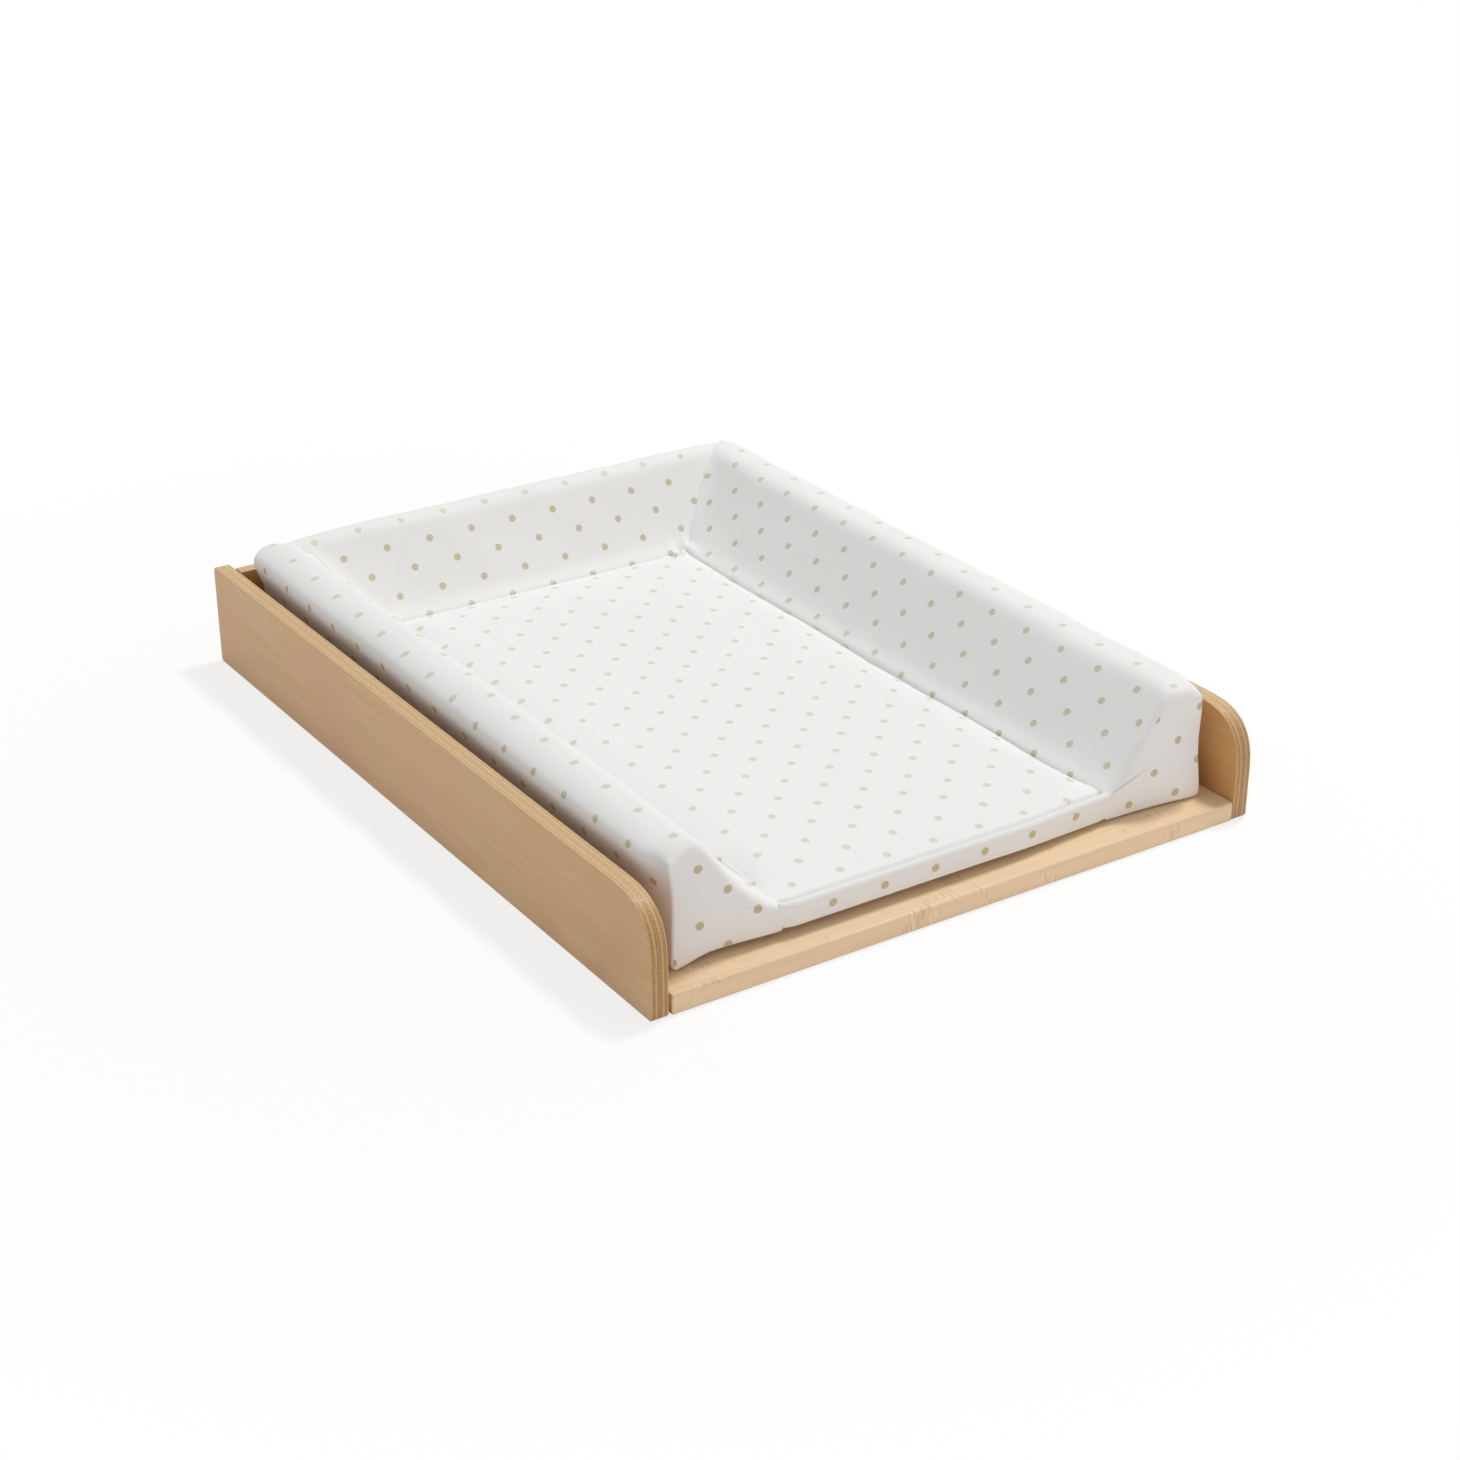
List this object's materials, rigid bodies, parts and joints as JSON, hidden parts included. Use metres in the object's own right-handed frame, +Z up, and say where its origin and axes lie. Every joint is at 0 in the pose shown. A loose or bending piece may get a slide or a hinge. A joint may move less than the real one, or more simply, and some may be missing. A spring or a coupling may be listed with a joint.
{
  "type": "wooden changing top",
  "caption": "Plywood changing tray with rounded front corners and an open front, holding a lift-out padded mat with raised sides and back in dotted white cotton.",
  "frame": {"origin": "on the surface that the tray stands on, under the middle of the tray's outline", "axes": "+Z up, +X to the right and +Y to the rear board as seen from the open front; +Y is the longest extent and +Z the shortest"},
  "size_m": [0.57, 0.745, 0.1191],
  "materials": {
    "beech_plywood": "clear lacquered beech veneer with bare ply edges",
    "solid_beech": "satin lacquered",
    "base_plywood": "sanded thin plywood",
    "dowel_wood": "plain beech",
    "zinc_steel": "zinc plated",
    "dotted_cotton": "white coated cotton with small olive gold dots in staggered rows",
    "plain_lining": "plain white cotton"
  },
  "bodies": {
    "tray": {"left_side_panel": "beech_plywood", "right_side_panel": "beech_plywood", "front_rail": "solid_beech", "rear_board": "beech_plywood", "base_panel": "base_plywood", "left_batten": "solid_beech", "right_batten": "solid_beech", "rear_batten": "solid_beech", "rail_dowel_left_1": "dowel_wood", "rail_dowel_left_2": "dowel_wood", "rear_dowel_left_1": "dowel_wood", "rear_dowel_left_2": "dowel_wood", "rail_dowel_right_1": "dowel_wood", "rail_dowel_right_2": "dowel_wood", "rear_dowel_right_1": "dowel_wood", "rear_dowel_right_2": "dowel_wood", "left_batten_screw_1": "zinc_steel", "left_batten_screw_2": "zinc_steel", "left_batten_screw_3": "zinc_steel", "right_batten_screw_1": "zinc_steel", "right_batten_screw_2": "zinc_steel", "right_batten_screw_3": "zinc_steel", "rear_batten_screw_1": "zinc_steel", "rear_batten_screw_2": "zinc_steel", "rear_batten_screw_3": "zinc_steel", "left_base_screw_1": "zinc_steel", "left_base_screw_2": "zinc_steel", "right_base_screw_1": "zinc_steel", "right_base_screw_2": "zinc_steel", "rear_base_screw_1": "zinc_steel", "rear_base_screw_2": "zinc_steel", "front_base_screw_1": "zinc_steel", "front_base_screw_2": "zinc_steel"},
    "mat": {"mat_lining": "plain_lining", "base_pad": "dotted_cotton", "left_bolster": "dotted_cotton", "right_bolster": "dotted_cotton", "back_bolster": "dotted_cotton"}
  },
  "joints": [
    {"name": "mat_lift", "type": "slide", "parent": "tray", "child": "mat", "axis": [0, 0, 1], "range_m": [0, 0.15]}
  ]
}
